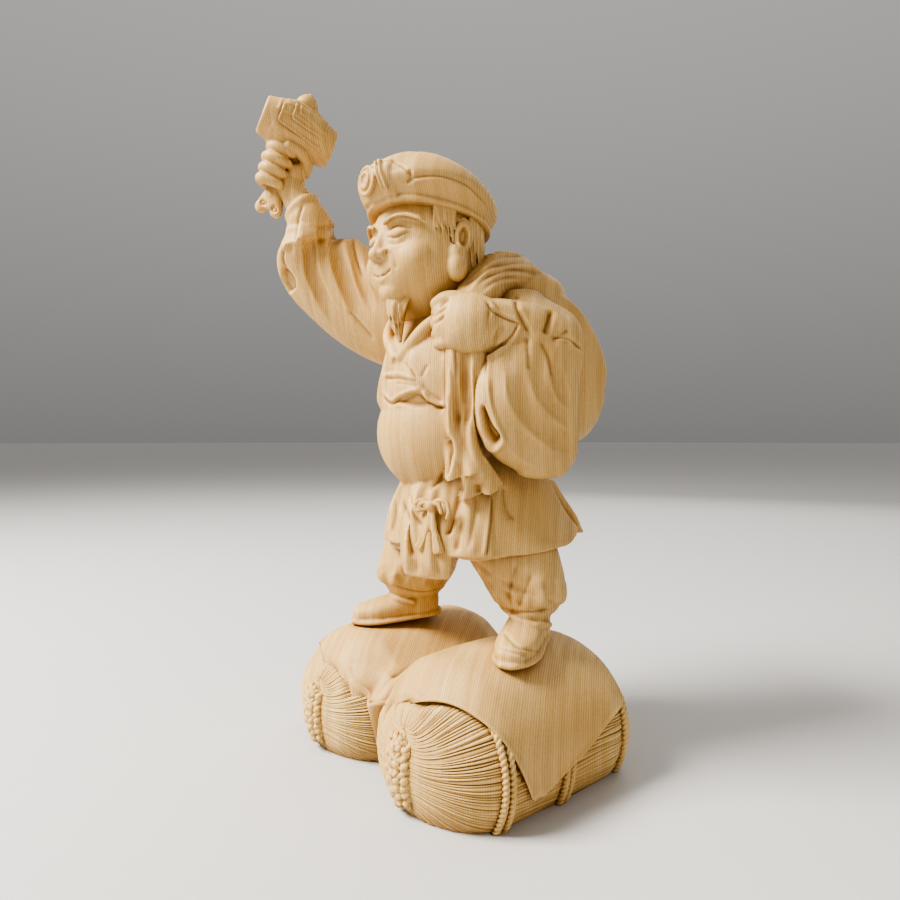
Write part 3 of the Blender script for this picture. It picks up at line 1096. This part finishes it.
def wood(name, pale, deep, straw=0.0):
    """Pale close-grained wood: yearly rings cut as planes across the block, fine fibres up its
    length, slow changes of tone, and a warmer darker tone in what the tools left hollow."""
    material = bpy.data.materials.new(name)
    material.use_nodes = True
    nodes, links = material.node_tree.nodes, material.node_tree.links
    shader = nodes["Principled BSDF"]

    def node(kind, **settings):
        made = nodes.new(kind)
        for setting, value in settings.items():
            setattr(made, setting, value)
        return made

    def noise(vector, scale, detail, roughness):
        made = node("ShaderNodeTexNoise")
        for socket, number in zip(("Scale", "Detail", "Roughness"), (scale, detail, roughness)):
            made.inputs[socket].default_value = number
        links.new(vector, made.inputs["Vector"])
        return made.outputs["Fac"]

    def mapped(vector, socket, numbers):
        made = node("ShaderNodeMapping")
        made.inputs[socket].default_value = numbers
        links.new(vector, made.inputs["Vector"])
        return made.outputs[0]

    def ramp(value, low, high, start=0.0, end=1.0):
        made = node("ShaderNodeMapRange")
        for socket, number in zip(made.inputs[1:5], (low, high, start, end)):
            socket.default_value = number
        links.new(value, made.inputs[0])
        return made.outputs[0]

    def blend(share, first, second):
        made = node("ShaderNodeMix", data_type="RGBA")
        for number, value in ((0, share), (6, first), (7, second)):
            if isinstance(value, tuple):
                made.inputs[number].default_value = value
            else:
                links.new(value, made.inputs[number])
        return made.outputs[2]

    def sum_of(first, second, factor):
        made = node("ShaderNodeMath", operation="MULTIPLY_ADD")
        links.new(second, made.inputs[0])
        made.inputs[1].default_value = factor
        links.new(first, made.inputs[2])
        return made.outputs[0]

    place = node("ShaderNodeTexCoord").outputs["Object"]
    turned = mapped(place, "Rotation", (0, 0, -RING_TURN))
    rings = node("ShaderNodeTexWave", wave_type="BANDS", bands_direction="X", wave_profile="SAW")
    waver = {"Scale": RING_SCALE, "Distortion": 1.6, "Detail": 2.0, "Detail Scale": 0.06}
    for socket, number in waver.items():
        rings.inputs[socket].default_value = number
    links.new(turned, rings.inputs["Vector"])
    stretched = mapped(turned, "Scale", ALONG_GRAIN)
    fibre = noise(stretched, *FIBRE)
    pores = noise(stretched, *PORES)
    streaks = noise(mapped(turned, "Scale", ALONG_RINGS), *STREAKS)
    tone = noise(place, *TONE)
    marks = noise(place, *MARKS)
    hollow = node("ShaderNodeAttribute", attribute_name="hollow").outputs["Fac"]
    crest = node("ShaderNodeAttribute", attribute_name="crest").outputs["Fac"]
    shelter = node("ShaderNodeAmbientOcclusion", samples=6)
    shelter.inputs["Distance"].default_value = SHELTER_REACH

    grain = sum_of(ramp(rings.outputs["Fac"], 0, 1, 0, RING_SHARE), ramp(fibre, 0.3, 0.7), FIBRE_SHARE)
    grain = sum_of(grain, ramp(pores, 0.35, 0.75), PORE_SHARE)
    grain = sum_of(grain, ramp(streaks, 0.35, 0.65, -0.5, 0.5), STREAK_SHARE)
    colour = blend(grain, pale, deep)
    colour = blend(ramp(tone, 0.35, 0.7, 0.0, 0.5), colour, WARM)
    colour = blend(ramp(crest, 0.1, 0.9, 0, 0.35), colour, WORN)
    colour = blend(ramp(hollow, 0.05, 0.85, 0, 0.8), colour, CREASE)
    colour = blend(ramp(shelter.outputs["AO"], 0.85, 0.1, 0, 0.75), colour, SHADE)
    links.new(colour, shader.inputs["Base Color"])

    sheen = sum_of(ramp(marks, 0.3, 0.7, 0.5, 0.62), hollow, 0.2)
    links.new(sheen, shader.inputs["Roughness"])
    shader.inputs["Specular IOR Level"].default_value = GLOSS
    shader.inputs["Subsurface Weight"].default_value = 0.03
    shader.inputs["Subsurface Radius"].default_value = SKIN_DEPTH
    shader.inputs["Subsurface Scale"].default_value = 1.0
    height = sum_of(ramp(fibre, 0.2, 0.8), rings.outputs["Fac"], 0.5)
    height = sum_of(height, marks, 0.8 + straw)
    bump = node("ShaderNodeBump")
    bump.inputs["Strength"].default_value = 0.35 + 0.3 * straw
    bump.inputs["Distance"].default_value = BUMP_HEIGHT
    links.new(height, bump.inputs["Height"])
    links.new(bump.outputs["Normal"], shader.inputs["Normal"])
    return material


def carve(name, parts, voxel, strokes=(), most=190000, rounds=4):
    """One piece of the figure: its forms grown together in voxels of so many millimetres, cut
    with its strokes, thinned to no more triangles than most, and finished."""
    points, faces = welded(parts, voxel, rounds)
    for view, lines in strokes:
        points = carved(points, faces, view, lines)
    piece_of(name, *thinned(points, faces, most), CARVED)


def scroll(centre, radius, way):
    """A stroke's path that winds in from a radius by a turn and a half."""
    t = np.linspace(0, 1, 14)
    angle = way * t * 3 * np.pi - 0.8
    size = radius * (1 - 0.82 * t)
    return np.stack([centre[0] + size * np.cos(angle), centre[1] + size * np.sin(angle)], 1)


MALLET_PLACE = np.array([-55.5, -48.0, 214.5])
MALLET_UP = unit(np.array([0.29, 0.23, 0.86]))
DRUM_WAY = np.array([0.194, 0.876, -0.442])
GRIP_PLACE = MALLET_PLACE - 18.0 * MALLET_UP
FIST_WAY = (-0.63, -0.78, 0.0)

# How strokes are cut: the cell of a view in its own units, how far behind the nearest point of
# its cell the skin still counts as seen, in millimetres, and the cosines past edge-on where a
# stroke begins and over which it comes to its full depth
VIEW_CELL = 2.0
HIDING_SLACK = 4.0
PAST_EDGE = 0.1
FULL_GRIP = 0.35

# Enlarged parts of the photograph that strokes are drawn on: a corner pixel and a zoom
CHEST = ((360, 320), 6.03)
ARM = ((240, 90), 5.6)
BALES = ((290, 560), 4.356)
LEFT = ((400, 270), 4.545)
ROBE_STROKES = enlarged(*CHEST, [
    ("pocket", 1.0, 1.8, [(205, 497), (300, 447), (365, 438), (405, 486), (455, 518), (330, 530)]),
    ("edge", 2.2, 2.1, [(130, 440), (190, 495), (235, 470), (300, 440), (365, 432)]),
    ("edge", 2.2, 2.1, [(365, 432), (400, 480), (455, 512), (520, 525)]),
    ("ridge", 1.8, 0.8, [(135, 338), (240, 325), (345, 365)]),
    ("groove", 1.2, 0.8, [(345, 372), (250, 352), (150, 348)]),
    ("groove", 1.0, 0.6, [(350, 400), (300, 387), (200, 378)]),
    ("groove", 1.0, 0.7, [(265, 250), (300, 300), (335, 350)]),
    ("groove", 0.9, 0.6, [(300, 290), (325, 325), (348, 362)]),
    ("groove", 1.2, 0.6, [(410, 265), (385, 310), (370, 345)]),
    ("groove", 1.4, 0.5, [(372, 385), (420, 435), (500, 490)]),
    ("edge", 1.6, 1.2, [(515, 95), (515, 300), (520, 520), (530, 690)]),
    ("groove", 1.4, 0.9, [(570, 130), (590, 300), (600, 500), (600, 640)]),
    ("groove", 1.0, 0.6, [(545, 250), (552, 400), (548, 600)]),
    ("flute", 2.2, 1.6, [(628, 130), (636, 400), (646, 600), (668, 740)]),
    ("flute", 1.6, 1.2, [(560, 200), (580, 480), (592, 700)]),
    ("flute", 1.6, 1.2, [(700, 250), (706, 480), (722, 680)]),
    ("groove", 1.8, 1.6, [(400, 1025), (480, 965), (532, 885), (548, 800), (532, 700)]),
    ("edge", 1.4, 1.2, [(668, 190), (672, 400), (692, 560), (722, 700), (740, 790)]),
    ("groove", 1.2, 0.9, [(715, 470), (720, 600), (745, 700)]),
    ("edge", 2.0, 1.6, [(755, 1430), (770, 1330), (785, 1200), (790, 1030)]),
    ("groove", 1.8, 1.2, [(625, 975), (585, 1120), (555, 1230), (535, 1300)]),
    ("groove", 2.4, 0.8, [(700, 1060), (690, 1200), (650, 1400)]),
    ("groove", 1.6, 0.8, [(600, 1180), (600, 1280), (580, 1400)]),
    ("groove", 2.2, 1.8, [(248, 1080), (285, 1200), (300, 1320), (325, 1440)]),
    ("groove", 1.4, 0.9, [(300, 1040), (320, 1150), (380, 1250)]),
    ("groove", 1.4, 0.8, [(205, 1000), (215, 1150), (190, 1290)]),
    ("groove", 1.2, 0.7, [(165, 1010), (170, 1150), (160, 1280)]),
    ("groove", 1.4, 0.9, [(570, 1190), (545, 1260), (520, 1300)]),
    ("groove", 2.8, 1.1, [(865, 1000), (880, 1120), (930, 1210)]),
    ("edge", 1.8, 1.6, [(1335, 1250), (1290, 1150), (1255, 1040), (1235, 850)]),
])
SLEEVE_STROKES = enlarged(*CHEST, [
    ("pocket", 1.4, 4.2, [(745, 500), (775, 560), (810, 640), (848, 690), (850, 730), (815, 765),
                          (780, 745), (745, 700), (725, 610), (720, 530)]),
    ("ridge", 1.3, 0.9, [(772, 300), (775, 430), (800, 560), (852, 690), (864, 738), (820, 787),
                         (775, 770), (735, 705)]),
    ("edge", 1.8, 1.3, [(1345, 190), (1260, 120), (1165, 108)]),
]) + enlarged(*LEFT, [
    ("flute", 4.6, 1.5, [(536, 300), (530, 430), (556, 590), (640, 705), (740, 775), (790, 770)]),
    ("flute", 3.6, 0.9, [(612, 320), (622, 440), (650, 560), (705, 645), (775, 680)]),
    ("flute", 2.8, 0.8, [(690, 360), (712, 470), (742, 570), (790, 610)]),
    ("flute", 4.6, 0.7, [(455, 560), (500, 700), (590, 820), (720, 850), (790, 800)]),
    ("groove", 1.8, 1.1, [(572, 300), (586, 380), (592, 460)]),
    ("groove", 1.8, 1.1, [(640, 320), (678, 400), (702, 490)]),
    ("edge", 2.0, 1.5, [(480, 330), (420, 385), (398, 400), (392, 480)]),
    ("groove", 1.8, 1.6, [(524, 110), (536, 175), (560, 230), (590, 290)]),
    ("groove", 2.2, 2.4, [(688, 180), (678, 230), (660, 292)]),
    ("groove", 1.8, 1.0, [(690, 312), (730, 296), (770, 268)]),
    ("groove", 1.8, 0.9, [(690, 318), (760, 326), (835, 358)]),
    ("edge", 2.0, 1.6, [(395, 140), (430, 185), (480, 215), (545, 240)]),
    ("edge", 2.0, 1.8, [(545, 240), (520, 290), (480, 335), (425, 380), (372, 402)]),
    ("flute", 1.8, 0.8, [(425, 205), (408, 290), (388, 380)]),
    ("flute", 1.6, 0.7, [(470, 225), (450, 290), (420, 350)]),
    ("groove", 1.4, 0.9, [(408, 170), (392, 260), (366, 345)]),
    ("groove", 1.0, 0.9, [(150, 246), (182, 228), (200, 205)]),
    ("groove", 1.0, 0.8, [(150, 212), (185, 190), (212, 165)]),
    ("groove", 1.0, 0.7, [(180, 170), (200, 150), (225, 130)]),
]) + enlarged(*ARM, [
    ("flute", 3.2, 1.3, [(400, 700), (388, 900), (412, 1040), (480, 1190), (590, 1350)]),
    ("flute", 2.2, 0.7, [(470, 660), (455, 830), (478, 990)]),
    ("flute", 3.6, 1.3, [(535, 660), (540, 900), (585, 1060), (650, 1210), (730, 1360)]),
    ("flute", 2.6, 0.9, [(625, 800), (680, 1070), (750, 1250)]),
    ("groove", 1.6, 1.1, [(600, 1230), (670, 1310), (750, 1400)]),
    ("flute", 2.2, 0.8, [(320, 700), (285, 830), (268, 940)]),
    ("groove", 1.2, 0.9, [(352, 640), (322, 740), (300, 860)]),
    ("groove", 1.2, 0.8, [(625, 760), (648, 900), (690, 1060)]),
    ("pocket", 1.2, 2.6, [(232, 985), (262, 1000), (300, 1050), (316, 1095), (296, 1130), (262, 1145),
                          (238, 1110), (226, 1050)]),
    ("groove", 1.0, 1.2, [(245, 890), (240, 950), (262, 1000), (318, 1085)]),
])
SACK_STROKES = enlarged(*ARM, [
    ("flute", 2.2, 2.0, [(1200, 1120), (1288, 997), (1389, 930), (1523, 907), (1658, 923), (1792, 997)]),
    ("flute", 2.0, 1.7, [(1230, 1150), (1333, 1019), (1434, 970), (1568, 956), (1720, 990)]),
    ("flute", 1.8, 1.5, [(1265, 1165), (1378, 1046), (1478, 1008), (1590, 1006), (1720, 1040)]),
    ("flute", 1.6, 1.0, [(1300, 1175), (1411, 1075), (1501, 1046), (1602, 1053)]),
])
LEG_STROKES = enlarged(*BALES, [
    ("groove", 2.4, 1.0, [(990, 10), (964, 100), (952, 160), (972, 235)]),
    ("groove", 2.2, 0.8, [(1056, 60), (1022, 140), (985, 225)]),
    ("groove", 2.4, 0.6, [(850, 80), (900, 150), (950, 225)]),
    ("groove", 2.4, 0.6, [(1110, 90), (1125, 160), (1160, 220)]),
    ("groove", 1.0, 1.0, [(900, 205), (960, 225), (1050, 228), (1140, 215)]),
    ("groove", 1.2, 0.9, [(925, 310), (960, 350), (1010, 385), (1090, 400)]),
    ("groove", 1.2, 0.7, [(900, 375), (960, 400), (1040, 420)]),
    ("flute", 1.8, 0.5, [(455, 40), (480, 80), (510, 105)]),
    ("groove", 1.0, 1.0, [(440, 110), (520, 133), (600, 140), (690, 115)]),
])
CAP_STROKES = enlarged(*ARM, [
    ("edge", 3.6, 1.4, [(1390, 670), (1330, 595), (1250, 530), (1120, 490), (1000, 495), (930, 525)]),
    ("groove", 1.6, 0.8, [(950, 440), (952, 485), (930, 525)]),
    ("edge", 2.2, 0.9, [(950, 490), (940, 465), (890, 425), (800, 390), (730, 380)]),
])
MALLET_STROKES = enlarged(*ARM, [
    ("edge", 1.4, 1.0, [(252, 55), (233, 110), (216, 168), (270, 212), (340, 262), (450, 350)]),
    ("edge", 1.2, 0.9, [(318, 62), (305, 110), (291, 153), (330, 186), (380, 222), (472, 282)]),
    ("edge", 1.0, 0.8, [(345, 75), (340, 100), (336, 130), (365, 155), (400, 183), (456, 226)]),
    ("groove", 0.9, 1.0, scroll((128, 628), 20, 1)),
    ("groove", 0.9, 1.0, scroll((193, 668), 20, -1)),
])
FACE_LINES = (
    ("groove", 0.7, 0.9, [(4.0, 156.0), (8.4, 154.6), (13.2, 156.2)]),
    ("groove", 0.8, 0.6, [(3.8, 158.0), (8.5, 159.3), (14.0, 157.6)]),
    ("groove", 1.2, 0.4, [(5.0, 153.4), (8.5, 152.2), (12.5, 153.2)]),
    ("groove", 1.6, 0.6, [(5.6, 150.0), (8.2, 146.5), (8.6, 142.5)]),
    ("groove", 0.8, 0.7, [(5.2, 150.8), (5.4, 149.2), (4.0, 147.9)]),
    ("groove", 0.8, 1.0, [(0.3, 141.3), (3.0, 141.7), (6.6, 143.2)]),
    ("groove", 0.7, 0.5, [(1.4, 147.6), (2.6, 147.4)]),
)
EAR_LINES = (
    ("groove", 1.0, 1.3, [(-21.5, 150), (-22, 156), (-19.8, 161.6), (-16, 162), (-14.4, 157), (-15.4, 151)]),
    ("pocket", 1.0, 2.2, [(-20, 151.5), (-20.2, 157), (-18, 159.8), (-16.2, 157), (-17, 152)]),
)


def mirrored(strokes, side):
    """Strokes of a level view, given with heights above the soles, for the side 1 as they are
    and for the side -1 with left and right exchanged."""
    return upright([(kind, width, height, [(side * x, z) for x, z in path])
                    for kind, width, height, path in strokes])


CARVED = wood("carved wood", (0.80, 0.585, 0.285, 1), (0.44, 0.27, 0.098, 1))
STRAW = wood("straw carved in wood", (0.88, 0.68, 0.35, 1), (0.56, 0.38, 0.15, 1), straw=1.0)
SIDES = (-1, 1)
piece_of("straw_bales", *joined([straw_bale(side) for side in SIDES]), STRAW, rounds=4, size=0.35)
ropes = [twisted_rope(side, place, shift)
         for side in SIDES for place in ROPE_PLACES for shift in (-1.4, 1.4)]
piece_of("straw_ropes", *joined(ropes), STRAW, rounds=3, size=0.35)
knots = [end_knot(side, facing) for side in SIDES for facing in SIDES]
piece_of("straw_knots", *joined(knots), STRAW, rounds=3, size=0.35)
piece_of("laid_cloth", *joined([laid_cloth(), valley_web()]), CARVED)
carve("legs_and_boots", [legs()], 0.5, [(photo_view, LEG_STROKES)], most=120000)
carve("robe", [skirt(), panels(), torso(), strips()], 0.5, [(photo_view, ROBE_STROKES)], rounds=6)
carve("sash", [sash()], 0.3, most=40000)
carve("sack", [sack()], 0.6, [(photo_view, SACK_STROKES)], most=90000, rounds=6)
carve("sleeves", [left_sleeve(), right_sleeve(), left_fist()], 0.5,
      [(photo_view, SLEEVE_STROKES)], most=180000, rounds=6)
carve("head", [head()], 0.4, [(level_view(0), mirrored(FACE_LINES, -1) + mirrored(FACE_LINES, 1)),
                              (level_view(90), mirrored(EAR_LINES, 1)),
                              (level_view(-90), mirrored(EAR_LINES, -1))], most=120000, rounds=14)
carve("hair", [beard(), hair(), brows()], 0.28, most=140000, rounds=1)
carve("cap", [cap()], 0.36, [(photo_view, CAP_STROKES)], most=130000)
carve("mallet_and_fist", [mallet(), right_fist()], 0.35, [(photo_view, MALLET_STROKES)], most=120000)

# The room: places in millimetres, widths in metres, powers in watts
AIM = (0, 0, 130)
LAMPS = (
    ("window", (-420, -800, 1000), 0.5, 35, (1.0, 0.965, 0.91)),
    ("room", (900, -300, 350), 1.2, 2.5, (1.0, 0.90, 0.76)),
    ("behind", (-400, 900, 700), 1.0, 3.5, (1.0, 0.97, 0.93)),
)
SKY = (0.97, 0.95, 0.92, 1)
HORIZON_LIGHT = 0.21
ZENITH_LIGHT = 0.46
ZENITH_FROM = 0.8
FLOOR = (0.56, 0.55, 0.54, 1)
FLOOR_ROUGHNESS = 0.7
FLOOR_REACH = 30000.0


def soft_light(name, place, size, power, colour):
    """A square area light, turned towards AIM by its angle from straight down and then by the
    way it stands from AIM."""
    lamp = bpy.data.lights.new(name, "AREA")
    lamp.size, lamp.energy, lamp.color = size, power, colour
    made = bpy.data.objects.new(name, lamp)
    made.location = np.array(place) * MM
    away = unit(np.array(place, float) - np.array(AIM, float))
    made.rotation_euler = (np.arccos(away[2]), 0, np.arctan2(away[1], away[0]) + np.pi / 2)
    bpy.context.scene.collection.objects.link(made)


def floor():
    """A plain pale floor under the carving, as one large quad."""
    corners = np.array([[x, y, 0] for x, y in ((-1, -1), (1, -1), (1, 1), (-1, 1))]) * FLOOR_REACH
    mesh = mesh_of("floor", corners, np.array([[0, 1, 2, 3]]))
    material = bpy.data.materials.new("pale floor")
    material.use_nodes = True
    shader = material.node_tree.nodes["Principled BSDF"]
    shader.inputs["Base Color"].default_value = FLOOR
    shader.inputs["Roughness"].default_value = FLOOR_ROUGHNESS
    mesh.materials.append(material)
    ground = bpy.data.objects.new("floor", mesh)
    bpy.context.scene.collection.objects.link(ground)


def sky():
    """A soft pale light from all round, whose strength grows from HORIZON_LIGHT evenly with the
    upward part of the way, and is ZENITH_LIGHT from ZENITH_FROM on."""
    world = bpy.data.worlds.new("studio")
    bpy.context.scene.world = world
    world.use_nodes = True
    nodes, links = world.node_tree.nodes, world.node_tree.links
    way = nodes.new("ShaderNodeTexCoord")
    parts = nodes.new("ShaderNodeSeparateXYZ")
    rise = nodes.new("ShaderNodeMapRange")
    for socket, number in zip(rise.inputs[1:5], (0.0, ZENITH_FROM, HORIZON_LIGHT, ZENITH_LIGHT)):
        socket.default_value = number
    links.new(way.outputs["Generated"], parts.inputs[0])
    links.new(parts.outputs["Z"], rise.inputs[0])
    links.new(rise.outputs[0], nodes["Background"].inputs["Strength"])
    nodes["Background"].inputs["Color"].default_value = SKY


floor()
for lamp in LAMPS:
    soft_light(*lamp)
sky()
bpy.context.scene.view_settings.look = "AgX - High Contrast"

lens = bpy.data.cameras.new("camera")
lens.sensor_width, lens.lens = SENSOR_WIDTH, LENS
camera = bpy.data.objects.new("camera", lens)
camera.location = EYE * MM
camera.rotation_euler = (np.pi / 2 + EYE_PITCH, 0, EYE_AZIMUTH)
bpy.context.scene.collection.objects.link(camera)
bpy.context.scene.camera = camera
